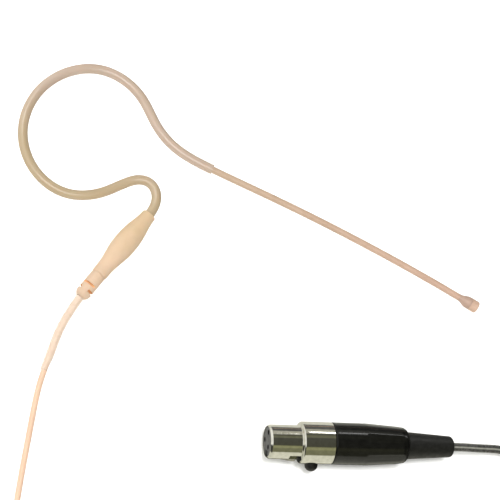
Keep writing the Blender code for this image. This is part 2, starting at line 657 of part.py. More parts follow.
def main():
    clear_scene()
    spine, mouth = headset_spine()
    build_ear_loop(spine, mouth)
    build_boom(spine, mouth)
    build_capsule(spine, mouth)
    build_relief()
    build_lead()
    frame = plug_frame()
    build_plug_shell(frame)
    build_insert(frame)
    build_contacts(frame)
    build_latch(frame)
    build_plug_rear(frame)


main()
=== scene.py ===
import json
import math

import bmesh
import bpy
import numpy as np
from mathutils import Matrix, Vector


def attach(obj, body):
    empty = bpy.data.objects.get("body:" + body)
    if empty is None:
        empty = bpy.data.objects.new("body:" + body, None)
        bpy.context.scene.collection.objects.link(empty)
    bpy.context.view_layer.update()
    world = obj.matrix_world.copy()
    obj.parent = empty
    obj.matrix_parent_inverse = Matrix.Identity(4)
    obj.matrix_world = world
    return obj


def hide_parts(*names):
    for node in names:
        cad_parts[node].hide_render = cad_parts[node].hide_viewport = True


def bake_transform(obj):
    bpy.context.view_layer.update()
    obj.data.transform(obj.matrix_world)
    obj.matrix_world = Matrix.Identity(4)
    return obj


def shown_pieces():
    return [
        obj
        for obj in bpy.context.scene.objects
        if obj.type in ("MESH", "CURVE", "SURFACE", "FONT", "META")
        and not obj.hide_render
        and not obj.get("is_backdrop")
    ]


# Headset microphone, its lead and plug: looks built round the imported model.
# Lengths and places are in millimetres, and become metres where a mesh or a light is made.

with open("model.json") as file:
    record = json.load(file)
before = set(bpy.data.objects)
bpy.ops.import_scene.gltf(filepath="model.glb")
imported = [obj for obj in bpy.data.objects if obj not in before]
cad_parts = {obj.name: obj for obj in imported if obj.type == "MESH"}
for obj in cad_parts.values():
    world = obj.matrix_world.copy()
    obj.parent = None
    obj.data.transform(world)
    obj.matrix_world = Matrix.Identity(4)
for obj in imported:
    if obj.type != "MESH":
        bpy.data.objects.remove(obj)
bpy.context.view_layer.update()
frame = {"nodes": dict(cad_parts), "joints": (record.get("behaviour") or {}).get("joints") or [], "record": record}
NODES = frame["nodes"]
JOINTS = {joint["name"]: joint for joint in frame["joints"]}
MATING_FACE = frame["record"]["mounts"][0]

MM = 0.001

# ---- camera
CAMERA_TARGET = (-1.8, -10.7, 0.0)
CAMERA_LEAN = (-0.26, -0.20)
CAMERA_DISTANCE = 417.0
CAMERA_LENS = 100.0

# ---- headset spine, the same as the model's
LOOP_KNOTS = [
    (-35.3, -3.7), (-32.6, -0.6), (-30.9, 2.2), (-30.3, 5.6), (-31.9, 9.0), (-34.5, 10.1),
    (-39.1, 9.2), (-46.5, 6.2), (-57.1, 6.1), (-65.4, 12.4), (-68.9, 23.5), (-64.5, 36.1),
    (-54.6, 43.2), (-45.1, 44.0), (-36.7, 39.7), (-32.9, 35.1), (-29.2, 27.4), (-25.2, 21.8),
]
MOUTH = (-12.5, 13.7)
BOOM_KNOTS = [(10.9, 2.6), (32.9, -8.6), (54.9, -20.8), (63.7, -26.0)]
SPINE_RAMP = 26.0
LOOP_RADIUS = 1.45
LOOP_BORE = 1.2
BOOM_RADIUS = 1.03
BOOM_BORE = 0.70
STUB_DEPTH = 8.0
SWING_AT = 3.0
LIFT_AT = 9.0
BEND_REACH = 2.4

# ---- capsule
CAPSULE_RADIUS = 1.88
CAPSULE_LENGTH = 6.7
FLARE_LENGTH = 3.2
CHAMBER_START = 2.5
CAP_START = 4.1
SPIGOT_RADIUS = 1.56
SPIGOT_END = 5.5

# ---- relief
RELIEF_START = (-32.77, -0.85)
RELIEF_HEADING = 229.0
RELIEF_LENGTH = 23.6
RELIEF_PROFILE = [(0.6, 2.16), (2.7, 2.38), (5.4, 2.92), (8.1, 3.34), (11.0, 3.5), (14.2, 3.36),
                  (17.4, 2.84), (20.4, 2.42), (22.9, 2.36)]
RELIEF_RADIUS = 3.5
RIB_END = 32.0
RIB_RADIUS = 2.2
SLOT_ROLL = 17.0
SLOTS = [(27.8, 0.66, 0.0), (29.7, 0.85, 90.0)]

# ---- lead
CORD_RADIUS = 0.85
SLEEVE_RADIUS = 1.22
SLEEVE_BORE = 1.04
SLEEVE_END = 23.3
DARK_SLEEVE_RADIUS = 1.25
DARK_SLEEVE_LENGTH = 21.0
LEAD_KNOTS = [
    (-53.85, -25.15, 3.50), (-56.7, -29.1, 2.95), (-59.8, -34.4, 2.10), (-62.2, -40.2, 1.50),
    (-64.2, -45.3, 1.25), (-65.7, -49.6, 1.06), (-67.0, -54.6, 0.88), (-68.6, -62.0, 0.86),
    (-70.4, -70.4, 0.86), (-72.3, -80.0, 0.86), (-73.5, -88.0, 0.86), (-73.75, -94.5, 0.86),
]
TAIL_KNOTS = [
    (-53.4, -114.75, 5.60), (-46.0, -114.0, 4.80), (-37.0, -111.6, 2.60), (-27.0, -108.2, 1.00),
    (-8.0, -102.2, 0.86), (18.0, -97.4, 0.86), (46.0, -95.0, 0.86), (66.0, -94.8, 0.86),
    (77.6, -91.6, 0.86), (82.4, -84.4, 1.10), (79.8, -76.8, 2.00), (73.0, -73.4, 3.30),
    (65.0, -72.65, 4.85), (60.2, -72.28, 5.82), (55.7, -71.98, 6.12),
]
COIL_CENTRE = (-60.6, -101.6)
COIL_FIRST = 13.15
COIL_LAST = 6.72
COIL_LAYERS = 4
COIL_TURNS = 15.25
TIE_ANGLE = 40.0

# ---- plug, along its own axis from the mating face
FACE_DEPTH = 0.12
FRONT_RADIUS = 4.92
REAR_RADIUS = 6.08
FRONT_BORE = 4.42
REAR_BORE = 5.25
STEP_AT = 9.3
SHELL_END = 19.15
INSERT_RADIUS = 4.33
CONTACT_CENTRE = (0.35, 0.45)
CONTACT_CIRCLE = 2.45
CONTACT_ANGLES = (109.0, 229.0, 349.0)
CONTACT_HOLE = 0.75
KEY_ANGLE = 175.0
WINDOW_START = 6.2
WINDOW_END = 9.7
WINDOW_HALF_WIDTH = 3.8
WINDOW_FLOOR = -3.2
NOSE_SLOT_FLOOR = -3.87
NOSE_SLOT_START = 3.8
NOSE_SLOT_HALF_WIDTH = 1.3
BODY_START = 19.3
BODY_TAPER = 28.3
BODY_END = 42.3
BODY_RADIUS = 6.1
BODY_END_RADIUS = 5.2
BOOT_START = 42.55
BOOT_END = 57.1
BUTTON_AT = 13.85
BUTTON_RADIUS = 1.94
BUTTON_TOP = 8.4
BUTTON_FOOT = 4.085
LEVER_PIVOT = 24.0
LEVER_HEIGHT = 3.85
LEVER_THICKNESS = 0.35


# ------------------------------------------------------------------ curves in space
class Route:
    """A smooth curve through given points, read by the distance run along it."""

    SAMPLES = 12000

    def __init__(self, knots):
        knots = np.array(knots, dtype=float)
        spans = np.linalg.norm(np.diff(knots, axis=0), axis=1)
        marks = np.concatenate(([0.0], np.cumsum(spans)))
        bends = self.natural_bends(knots, spans)
        along = np.linspace(0.0, marks[-1], self.SAMPLES)
        index = np.clip(np.searchsorted(marks, along, side="right") - 1, 0, len(spans) - 1)
        span = spans[index][:, None]
        after = (marks[index + 1] - along)[:, None]
        before = (along - marks[index])[:, None]
        self.points = (
            (bends[index] * after ** 3 + bends[index + 1] * before ** 3) / (6 * span)
            + (knots[index] / span - bends[index] * span / 6) * after
            + (knots[index + 1] / span - bends[index + 1] * span / 6) * before
        )
        steps = np.linalg.norm(np.diff(self.points, axis=0), axis=1)
        self.marks = np.concatenate(([0.0], np.cumsum(steps)))
        self.length = self.marks[-1]

    @staticmethod
    def natural_bends(knots, spans):
        """Second derivatives at the knots of the natural cubic spline through them."""
        count = len(knots)
        system = np.eye(count)
        pull = np.zeros_like(knots)
        for i in range(1, count - 1):
            system[i, i - 1] = spans[i - 1]
            system[i, i] = 2 * (spans[i - 1] + spans[i])
            system[i, i + 1] = spans[i]
            rise = (knots[i + 1] - knots[i]) / spans[i]
            pull[i] = 6 * (rise - (knots[i] - knots[i - 1]) / spans[i - 1])
        return np.linalg.solve(system, pull)

    def at(self, distance):
        return np.array([np.interp(distance, self.marks, axis) for axis in self.points.T])

    def heading(self, distance):
        reach = 0.05
        run = self.at(min(distance + reach, self.length)) - self.at(max(distance - reach, 0.0))
        return run / np.linalg.norm(run)

    def nearest(self, x, y):
        gaps = np.hypot(self.points[:, 0] - x, self.points[:, 1] - y)
        return self.marks[int(np.argmin(gaps))]


def smooth_ramp(share):
    share = min(max(share, 0.0), 1.0)
    return share * share * (3 - 2 * share)


def headset_spine():
    """The headset's centreline, and the distance along it of the loop tube's mouth."""
    flat = [(x, y, 0.0) for x, y in LOOP_KNOTS + [MOUTH] + BOOM_KNOTS]
    plan = Route(flat)
    mouth = plan.nearest(*MOUTH)
    knots = []
    for x, y, _ in flat:
        distance = plan.nearest(x, y)
        drop = smooth_ramp(distance / SPINE_RAMP)
        low = RELIEF_RADIUS + (LOOP_RADIUS - RELIEF_RADIUS) * drop
        rise = (CAPSULE_RADIUS - LOOP_RADIUS) * max(0.0, distance - mouth) / (plan.length - mouth)
        knots.append((x, y, low + rise))
    spine = Route(knots)
    return spine, spine.nearest(*MOUTH)


def aimed(origin, direction):
    """A frame at origin whose +X is direction and whose +Z leans up."""
    x_axis = Vector(direction).normalized()
    y_axis = Vector((0, 0, 1)).cross(x_axis).normalized()
    z_axis = x_axis.cross(y_axis)
    return Matrix.Translation(origin) @ Matrix((x_axis, y_axis, z_axis)).transposed().to_4x4()


def relief_frame():
    heading = math.radians(RELIEF_HEADING)
    return aimed((*RELIEF_START, RELIEF_RADIUS), (math.cos(heading), math.sin(heading), 0.0))


def plug_frame():
    """+X runs from the mating face to the boot, +Z from the button into the plug."""
    along = -Vector(MATING_FACE["axis"])
    inward = Vector(JOINTS["button_press"]["axis"])
    side = inward.cross(along)
    face = Vector(MATING_FACE["pos_m"]) / MM - along * FACE_DEPTH
    return Matrix.Translation(face) @ Matrix((along, side, inward)).transposed().to_4x4()


SPINE, MOUTH_AT = headset_spine()
RELIEF = relief_frame()
PLUG = plug_frame()


# ------------------------------------------------------------------ camera, lights and floor
def place_camera():
    x, y = CAMERA_LEAN
    back = Vector((x, y, math.sqrt(1 - x * x - y * y)))
    right = (Vector((1, 0, 0)) - back * back.x).normalized()
    up = back.cross(right)
    data = bpy.data.cameras.new("camera")
    data.lens = CAMERA_LENS
    data.clip_start = 0.01
    camera = bpy.data.objects.new("camera", data)
    bpy.context.scene.collection.objects.link(camera)
    place = Matrix.Translation((Vector(CAMERA_TARGET) + back * CAMERA_DISTANCE) * MM)
    camera.matrix_world = place @ Matrix((right, up, back)).transposed().to_4x4()
    bpy.context.scene.camera = camera


def softbox(name, direction, distance, size, watts, target=(0.0, -20.0, 0.0), lit=None, in_gloss=True):
    """A soft rectangular light, in the given direction from its target."""
    data = bpy.data.lights.new(name, "AREA")
    data.shape = "RECTANGLE"
    data.size, data.size_y = (side * MM for side in size)
    data.energy = watts
    light = bpy.data.objects.new(name, data)
    bpy.context.scene.collection.objects.link(light)
    back = Vector(direction).normalized()
    light.location = (Vector(target) + back * distance) * MM
    light.rotation_euler = back.to_track_quat("Z", "Y").to_euler()
    light.visible_camera = False
    light.visible_glossy = in_gloss
    if lit is not None:
        light.light_linking.receiver_collection = lit
    return light


def mapped(nodes, links, value, source, target=(0.0, 1.0)):
    """A value moved from one range to another and held inside it."""
    node = nodes.new("ShaderNodeMapRange")
    for name, (low, high) in (("From", source), ("To", target)):
        node.inputs[f"{name} Min"].default_value = low
        node.inputs[f"{name} Max"].default_value = high
    links.new(value, node.inputs["Value"])
    return node.outputs[0]


def banded(nodes, links, value, bands):
    """Colours by angle, from (degrees, colour) stops over a full turn."""
    ramp = nodes.new("ShaderNodeValToRGB")
    links.new(value, ramp.inputs["Fac"])
    for stop, (degrees, color) in enumerate(bands):
        position = (degrees + 180.0) / 360.0
        if stop < 2:
            element = ramp.color_ramp.elements[stop]
            element.position = position
        else:
            element = ramp.color_ramp.elements.new(position)
        element.color = (*color, 1.0)
    return ramp.outputs["Color"]


def build_world():
    """The room seen in the metal: olive with a grey wall, pale to the left, dim to the right."""
    world = bpy.data.worlds.new("studio")
    world.use_nodes = True
    bpy.context.scene.world = world
    tree = world.node_tree
    nodes, links = tree.nodes, tree.links
    background = nodes["Background"]
    place = nodes.new("ShaderNodeTexCoord")
    axes = nodes.new("ShaderNodeSeparateXYZ")
    links.new(place.outputs["Generated"], axes.inputs[0])
    tilt = nodes.new("ShaderNodeMath")
    tilt.operation = "ARCTAN2"
    links.new(axes.outputs["Y"], tilt.inputs[0])
    links.new(axes.outputs["Z"], tilt.inputs[1])
    turn = mapped(nodes, links, tilt.outputs[0], (-math.pi, math.pi))
    room = [(-158.0, (0.06, 0.06, 0.045)), (-152.0, (0.80, 0.79, 0.66)), (-80.0, (0.80, 0.79, 0.66)),
            (-75.0, (0.20, 0.20, 0.12)), (-48.0, (0.22, 0.22, 0.13)), (-43.0, (0.31, 0.31, 0.17)),
            (-32.0, (0.29, 0.29, 0.155)), (-27.0, (0.075, 0.075, 0.055)), (20.0, (0.085, 0.085, 0.07)),
            (24.0, (0.17, 0.17, 0.12)), (36.0, (0.15, 0.15, 0.10)), (40.0, (0.085, 0.085, 0.07)),
            (45.0, (0.10, 0.10, 0.09)), (48.0, (0.46, 0.45, 0.38)), (72.0, (0.50, 0.49, 0.42)),
            (77.0, (0.12, 0.12, 0.115)), (110.0, (0.15, 0.15, 0.145)), (117.0, (0.78, 0.77, 0.68)),
            (170.0, (0.70, 0.69, 0.60))]
    window_side = [(-170.0, (0.50, 0.50, 0.42)), (-95.0, (0.80, 0.79, 0.66)), (-85.0, (0.06, 0.06, 0.05)),
                   (-35.0, (0.06, 0.06, 0.05)), (-20.0, (1.0, 1.0, 0.95)), (100.0, (1.0, 1.0, 0.95)),
                   (120.0, (0.70, 0.69, 0.60))]
    window_from = (-0.20, -0.35)
    fade_from, faded_to = (0.45, 0.62), 0.12
    backdrop = (0.9, 0.9, 0.9, 1.0)
    walls = nodes.new("ShaderNodeMix")
    walls.data_type = "RGBA"
    links.new(mapped(nodes, links, axes.outputs["X"], window_from), walls.inputs["Factor"])
    links.new(banded(nodes, links, turn, room), walls.inputs["A"])
    links.new(banded(nodes, links, turn, window_side), walls.inputs["B"])
    faded = nodes.new("ShaderNodeVectorMath")
    faded.operation = "SCALE"
    links.new(walls.outputs["Result"], faded.inputs[0])
    links.new(mapped(nodes, links, axes.outputs["X"], fade_from, (1.0, faded_to)), faded.inputs["Scale"])
    seen = nodes.new("ShaderNodeMix")
    seen.data_type = "RGBA"
    rays = nodes.new("ShaderNodeLightPath")
    links.new(rays.outputs["Is Camera Ray"], seen.inputs["Factor"])
    links.new(faded.outputs[0], seen.inputs["A"])
    seen.inputs["B"].default_value = backdrop
    links.new(seen.outputs["Result"], background.inputs["Color"])


def build_floor():
    """A large sheet of white paper; its half width is in metres."""
    half = 3.0
    mesh = bpy.data.meshes.new("floor")
    corners = [(-half, -half, 0), (half, -half, 0), (half, half, 0), (-half, half, 0)]
    mesh.from_pydata(corners, [], [(0, 1, 2, 3)])
    floor = bpy.data.objects.new("floor", mesh)
    bpy.context.scene.collection.objects.link(floor)
    look = Look("floor_paper")
    look.tint(look.mix(look.noise(40.0), (0.86, 0.86, 0.86), (0.89, 0.89, 0.89)))
    look.rough(0.85, 0.95, look.noise(5.0))
    mesh.materials.append(look.material)
    floor.visible_glossy = False
    floor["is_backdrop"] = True
    return floor


# ------------------------------------------------------------------ materials
class Look:
    """One procedural material: a Principled shader fed by a few texture nodes."""

    def __init__(self, name, metallic=0.0):
        self.material = bpy.data.materials.new(name)
        self.material.use_nodes = True
        self.nodes = self.material.node_tree.nodes
        self.links = self.material.node_tree.links
        self.shader = self.nodes["Principled BSDF"]
        self.shader.inputs["Metallic"].default_value = metallic
        self.place = self.nodes.new("ShaderNodeTexCoord").outputs["Object"]

    def stretched(self, matrix, scale):
        """Object coordinates turned into a piece's own frame and scaled along its axes."""
        rotation = matrix.to_3x3().transposed()
        node = self.nodes.new("ShaderNodeMapping")
        node.vector_type = "POINT"
        node.inputs["Rotation"].default_value = rotation.to_euler()
        node.inputs["Location"].default_value = -(rotation @ matrix.translation) * MM
        self.links.new(self.place, node.inputs["Vector"])
        sized = self.nodes.new("ShaderNodeVectorMath")
        sized.operation = "MULTIPLY"
        sized.inputs[1].default_value = scale
        self.links.new(node.outputs[0], sized.inputs[0])
        return sized.outputs[0]

    def noise(self, size, detail=2.0, place=None, distortion=0.0):
        node = self.nodes.new("ShaderNodeTexNoise")
        node.inputs["Scale"].default_value = 1.0 / (size * MM)
        node.inputs["Detail"].default_value = detail
        node.inputs["Distortion"].default_value = distortion
        self.links.new(place if place is not None else self.place, node.inputs["Vector"])
        return node.outputs["Fac"]

    def spread(self, value, low, high, start=0.35, end=0.65):
        """Map a value from start..end to low..high."""
        return mapped(self.nodes, self.links, value, (start, end), (low, high))

    def slope(self, direction, start, end):
        """0 to 1 along a direction of the room, in millimetres."""
        node = self.nodes.new("ShaderNodeVectorMath")
        node.operation = "DOT_PRODUCT"
        node.inputs[1].default_value = direction
        self.links.new(self.place, node.inputs[0])
        return self.spread(node.outputs["Value"], 0.0, 1.0, start * MM, end * MM)

    def mask(self, name):
        """A per-point value stored with the mesh."""
        node = self.nodes.new("ShaderNodeAttribute")
        node.attribute_name = name
        return node.outputs["Fac"]

    def mix(self, factor, first, second, start=0.35, end=0.65, plain=False):
        node = self.nodes.new("ShaderNodeMix")
        node.data_type = "RGBA"
        if not plain:
            factor = self.spread(factor, 0.0, 1.0, start, end)
        self.links.new(factor, node.inputs["Factor"])
        for socket, color in (("A", first), ("B", second)):
            if isinstance(color, tuple):
                node.inputs[socket].default_value = (*color, 1.0)
            else:
                self.links.new(color, node.inputs[socket])
        return node.outputs["Result"]

    def tint(self, color):
        self.links.new(color, self.shader.inputs["Base Color"])

    def rough(self, low, high, value):
        self.links.new(self.spread(value, low, high), self.shader.inputs["Roughness"])

    def bump(self, height, depth, strength=0.6):
        node = self.nodes.new("ShaderNodeBump")
        node.inputs["Strength"].default_value = strength
        node.inputs["Distance"].default_value = depth * MM
        self.links.new(height, node.inputs["Height"])
        self.links.new(node.outputs[0], self.shader.inputs["Normal"])

    def set(self, socket, value):
        self.shader.inputs[socket].default_value = value

    def scatter(self, weight, reach=0.8):
        """Light that enters the soft plastic and leaves a little way off, warmer."""
        self.set("Subsurface Weight", weight)
        self.set("Subsurface Radius", (1.0, 0.55, 0.3))
        self.set("Subsurface Scale", reach * MM)


def moulded(name, dark, light, mottle=3.0, rough=(0.32, 0.42), grain=0.35, depth=0.004, scatter=0.0):
    """Plain moulded plastic or rubber: soft mottling, uneven gloss, a fine skin texture."""
    look = Look(name)
    look.tint(look.mix(look.noise(mottle), dark, light))
    look.rough(*rough, look.noise(grain * 5))
    look.bump(look.noise(grain), depth)
    if scatter:
        look.scatter(scatter)
    return look.material


def worked_metal(name, dark, light, rough=(0.16, 0.26), mottle=1.6, grain=0.2, depth=0.002):
    """Plated or drawn metal: faint cloudy tarnish and fine tool marks."""
    look = Look(name, metallic=1.0)
    look.tint(look.mix(look.noise(mottle, detail=4.0), dark, light))
    look.rough(*rough, look.noise(grain * 4, detail=4.0))
    look.bump(look.noise(grain, detail=4.0), depth, 0.4)
    return look.material


def loop_tube_look():
    """Satin flesh-coloured tube; its colour turns lighter and pinker towards the top of the loop, a painted sheen
    on its upper part.
    """
    look = Look("loop_tube")
    low = look.mix(look.noise(9.0, 0.0), (0.420, 0.320, 0.198), (0.440, 0.340, 0.220))
    high = look.mix(look.noise(9.0, 0.0), (0.465, 0.356, 0.280), (0.485, 0.373, 0.298))
    # the lighter, pinker colour towards the top of the loop is a painted sheen
    look.tint(look.mix(look.slope((0.5, 1.0, 0.0), -12.0, 7.0), low, high, plain=True))
    look.rough(0.17, 0.22, look.noise(3.0))
    look.set("Specular IOR Level", 0.9)
    look.bump(look.noise(1.5), 0.002, 0.3)
    look.scatter(0.12)
    return look.material


def boom_look():
    """Painted boom, greyer near the mouth of the loop tube and warmer towards the tip."""
    look = Look("boom_skin")
    near = look.mix(look.noise(4.0), (0.445, 0.318, 0.222), (0.48, 0.348, 0.248))
    far = look.mix(look.noise(4.0), (0.475, 0.314, 0.232), (0.51, 0.341, 0.256))
    look.tint(look.mix(look.slope((1.0, 0.0, 0.0), -5.0, 60.0), near, far, plain=True))
    look.rough(0.38, 0.50, look.noise(1.5))
    look.bump(look.noise(0.45), 0.004, 0.5)
    return look.material


def relief_look():
    """Soft peach moulding, pinker towards its lower end."""
    look = Look("relief_moulding")
    top = look.mix(look.noise(4.0), (0.575, 0.422, 0.268), (0.615, 0.452, 0.292))
    bottom = look.mix(look.noise(4.0), (0.600, 0.435, 0.312), (0.640, 0.465, 0.336))
    look.tint(look.mix(look.slope((0.0, 1.0, 0.0), -6.0, -20.0), top, bottom, plain=True))
    look.rough(0.46, 0.58, look.noise(1.2))
    look.bump(look.noise(0.30), 0.006, 0.5)
    look.scatter(0.25)
    return look.material


def sleeve_look():
    """Milky see-through sleeve."""
    look = Look("sleeve_milky")
    look.tint(look.mix(look.noise(3.0), (0.87, 0.715, 0.585), (0.89, 0.735, 0.605)))
    look.rough(0.22, 0.34, look.noise(1.5))
    look.bump(look.noise(0.6), 0.004, 0.4)
    look.set("Alpha", 0.5)
    return look.material


def dark_sleeve_look():
    """Smoky jacket with pale lengthwise lines painted along it as highlights."""
    look = Look("dark_sleeve")
    dark = look.mix(look.noise(2.0), (0.060, 0.060, 0.056), (0.085, 0.085, 0.080))
    # pale colour of the lines painted on as highlights
    pale = look.mix(look.noise(1.0), (0.30, 0.30, 0.26), (0.42, 0.42, 0.37))
    look.tint(look.mix(look.mask("painted_highlight_lines"), dark, pale, plain=True))
    look.rough(0.24, 0.34, look.noise(0.8))
    look.bump(look.noise(0.3), 0.004, 0.4)
    return look.material


def nickel_look():
    """Plated barrel with turning marks round it."""
    look = Look("barrel_nickel", metallic=1.0)
    turned = look.stretched(PLUG, (6.0, 0.6, 0.6))
    look.tint(look.mix(look.noise(1.5, detail=4.0), (0.70, 0.69, 0.63), (0.80, 0.79, 0.73)))
    look.rough(0.05, 0.11, look.noise(0.8, detail=3.0, place=turned))
    look.bump(look.noise(0.6, detail=3.0, place=turned), 0.0012, 0.4)
    return look.material


def tie_look():
    """Black hook-and-loop strap."""
    look = Look("tie_strap")
    look.tint(look.mix(look.noise(0.25, detail=4.0), (0.012, 0.012, 0.013), (0.045, 0.045, 0.048)))
    look.rough(0.75, 0.95, look.noise(0.4))
    look.bump(look.noise(0.22, detail=4.0), 0.10, 0.8)
    look.set("Sheen Weight", 0.4)
    return look.material


def board_look():
    """Green solder mask, slightly cloudy."""
    look = Look("capsule_board")
    look.tint(look.mix(look.noise(0.5), (0.02, 0.16, 0.07), (0.04, 0.26, 0.12)))
    look.rough(0.3, 0.45, look.noise(0.4))
    look.bump(look.noise(0.3), 0.01)
    return look.material


def felt_look():
    look = Look("capsule_felt")
    look.tint(look.mix(look.noise(0.12, detail=5.0), (0.05, 0.048, 0.045), (0.17, 0.16, 0.15)))
    look.rough(0.9, 1.0, look.noise(0.3))
    look.bump(look.noise(0.10, detail=5.0), 0.03, 0.9)
    return look.material


LOOKS = {}


def make_looks():
    """Every finish, under the short name that the pieces use."""
    LOOKS.update(
        loop=loop_tube_look(),
        boom=boom_look(),
        capsule=moulded("capsule_shell", (0.385, 0.266, 0.210), (0.430, 0.295, 0.232), 1.6, (0.30, 0.42)),
        cap=moulded("capsule_cap", (0.50, 0.340, 0.250), (0.55, 0.375, 0.280), 1.6, (0.34, 0.46)),
        relief=relief_look(),
        # near-black walls for the contact holes, window, nose slot and hook pocket: painted shade in the recesses
        hole=moulded("painted_shade_hole_walls", (0.004, 0.004, 0.004), (0.008, 0.008, 0.007), 1.0, (0.6, 0.8),
                     0.3, 0.004),
        # deep orange slot walls: painted shade, the warm light bounced and scattered inside the strain relief's
        # slots
        slot=moulded("slot_walls_painted_shade", (0.70, 0.37, 0.17), (0.76, 0.42, 0.20), 1.0, (0.5, 0.6), 0.3, 0.006),
        cable=moulded("cable_jacket", (0.710, 0.492, 0.352), (0.740, 0.515, 0.374), 6.0, (0.36, 0.46),
                      0.5, 0.005, 0.2),
        sleeve=sleeve_look(),
        dark_sleeve=dark_sleeve_look(),
        nickel=nickel_look(),
        spring=worked_metal("spring_steel", (0.32, 0.315, 0.285), (0.42, 0.41, 0.37)),
        # gold darkened as painted shade on the contacts sunk deep in their holes
        gold=worked_metal("contact_gold", (0.36, 0.25, 0.10), (0.44, 0.32, 0.14)),
        steel=worked_metal("steel_wire", (0.45, 0.45, 0.46), (0.58, 0.58, 0.60), (0.28, 0.4)),
        can=worked_metal("capsule_can", (0.66, 0.66, 0.68), (0.76, 0.76, 0.78)),
        copper=worked_metal("crimp_copper", (0.60, 0.32, 0.18), (0.74, 0.42, 0.26), (0.25, 0.4)),
        insert=moulded("insert_plastic", (0.068, 0.068, 0.067), (0.096, 0.096, 0.094), 0.8, (0.45, 0.6),
                       0.25, 0.008),
        black=moulded("grip_plastic", (0.005, 0.005, 0.0045), (0.009, 0.009, 0.008), 2.0, (0.12, 0.18),
                      0.6, 0.002),
        boot=moulded("boot_rubber", (0.009, 0.009, 0.0085), (0.016, 0.016, 0.015), 0.8, (0.42, 0.55),
                     0.25, 0.012),
        button=moulded("button_rubber", (0.008, 0.008, 0.008), (0.014, 0.014, 0.014), 1.0, (0.30, 0.42),
                       0.25, 0.006),
        tie=tie_look(),
        board=board_look(),
        felt=felt_look(),
    )


# ------------------------------------------------------------------ mesh makers
def rounded(outline, radius, steps=4, closed=False):
    """An outline whose corners are small curves that start radius away from each corner."""
    points = [Vector(p) for p in outline]
    made = []
    for i, corner in enumerate(points):
        if not closed and i in (0, len(points) - 1):
            made.append(tuple(corner))
            continue
        before = points[i - 1] - corner
        after = points[(i + 1) % len(points)] - corner
        reach = min(radius, before.length * 0.45, after.length * 0.45)
        start = corner + before.normalized() * reach
        end = corner + after.normalized() * reach
        for k in range(steps + 1):
            t = k / steps
            made.append(tuple(start * (1 - t) ** 2 + corner * 2 * t * (1 - t) + end * t * t))
    return made


def refined(outline, step):
    """The same outline with its long straight stretches cut into steps."""
    made = []
    for first, second in zip(outline, outline[1:]):
        a, b = Vector(first), Vector(second)
        count = max(1, math.ceil((b - a).length / step))
        made += [tuple(a.lerp(b, k / count)) for k in range(count)]
    return made + [tuple(outline[-1])]


def along_route(route, outline, sides, shape=None):
    """Rings round a route for (distance, radius) points; shape may move (distance, angle, radius)."""
    rings = []
    for distance, radius in outline:
        ahead = Vector(route.heading(distance))
        side = Vector((-ahead.y, ahead.x, 0.0)).normalized()
        up = ahead.cross(side)
        centre = Vector(route.at(distance))
        ring = []
        for k in range(sides):
            angle = 2 * math.pi * k / sides
            sideways, upward = radius * math.cos(angle), radius * math.sin(angle)
            if shape is not None:
                sideways, upward = shape(distance, angle, radius)
            ring.append(centre + side * sideways + up * upward)
        rings.append(ring)
    return rings


def turned(place, outline, sides, swell=None):
    """Rings about a frame's +X for (along, radius) points; swell adds to the radius."""
    rings = []
    for along, radius in outline:
        if radius == 0.0:
            rings.append([place @ Vector((along, 0, 0))])
            continue
        ring = []
        for k in range(sides):
            angle = 2 * math.pi * k / sides
            reach = radius + (swell(along, angle) if swell else 0.0)
            ring.append(place @ Vector((along, reach * math.cos(angle), reach * math.sin(angle))))
        rings.append(ring)
    return rings


def skin(name, rings, look, closed=False, sharp=34.0):
    """A closed surface through successive rings; an end ring is filled, or is one point."""
    points, starts = [], []
    for ring in rings:
        starts.append(len(points))
        points += ring
    faces = []
    pairs = [(i, i + 1) for i in range(len(rings) - 1)]
    if closed:
        pairs.append((len(rings) - 1, 0))
    for i, j in pairs:
        sides = max(len(rings[i]), len(rings[j]))
        for k in range(sides):
            after = (k + 1) % sides
            if len(rings[i]) == 1:
                faces.append((starts[i], starts[j] + k, starts[j] + after))
            elif len(rings[j]) == 1:
                faces.append((starts[i] + k, starts[i] + after, starts[j]))
            else:
                faces.append((starts[i] + k, starts[i] + after, starts[j] + after, starts[j] + k))
    if not closed:
        for i in (0, len(rings) - 1):
            if len(rings[i]) > 1:
                faces.append(tuple(range(starts[i], starts[i] + len(rings[i]))))
    mesh = bpy.data.meshes.new(name)
    mesh.from_pydata([tuple(Vector(p) * MM) for p in points], [], faces)
    work = bmesh.new()
    work.from_mesh(mesh)
    bmesh.ops.recalc_face_normals(work, faces=work.faces)
    work.to_mesh(mesh)
    work.free()
    mesh.materials.append(LOOKS[look])
    mesh.shade_smooth()
    mesh.set_sharp_from_angle(angle=math.radians(sharp))
    piece = bpy.data.objects.new(name, mesh)
    bpy.context.scene.collection.objects.link(piece)
    return piece


def block(name, place, low, high, look):
    """A box between two corners of a frame, used for cutting."""
    rings = []
    for x in (low[0], high[0]):
        ring = [(low[1], low[2]), (high[1], low[2]), (high[1], high[2]), (low[1], high[2])]
        rings.append([place @ Vector((x, y, z)) for y, z in ring])
    return skin(name, rings, look)


def carve(piece, cutters, sharp=34.0):
    """Cut the cutters out of a piece for good."""
    for cutter in cutters:
        cut = piece.modifiers.new(cutter.name, "BOOLEAN")
        cut.operation = "DIFFERENCE"
        cut.object = cutter
        cut.material_mode = "TRANSFER"
    graph = bpy.context.evaluated_depsgraph_get()
    carved = bpy.data.meshes.new_from_object(piece.evaluated_get(graph))
    piece.modifiers.clear()
    piece.data = carved
    for cutter in cutters:
        bpy.data.objects.remove(cutter)
    carved.shade_smooth()
    carved.set_sharp_from_angle(angle=math.radians(sharp))


def keep(piece, body, slot, *replaced):
    """Tie a finished piece to its body and hide the CAD nodes that it stands for; the finish slot is not used."""
    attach(piece, body)
    if replaced:
        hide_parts(*replaced)
    return piece


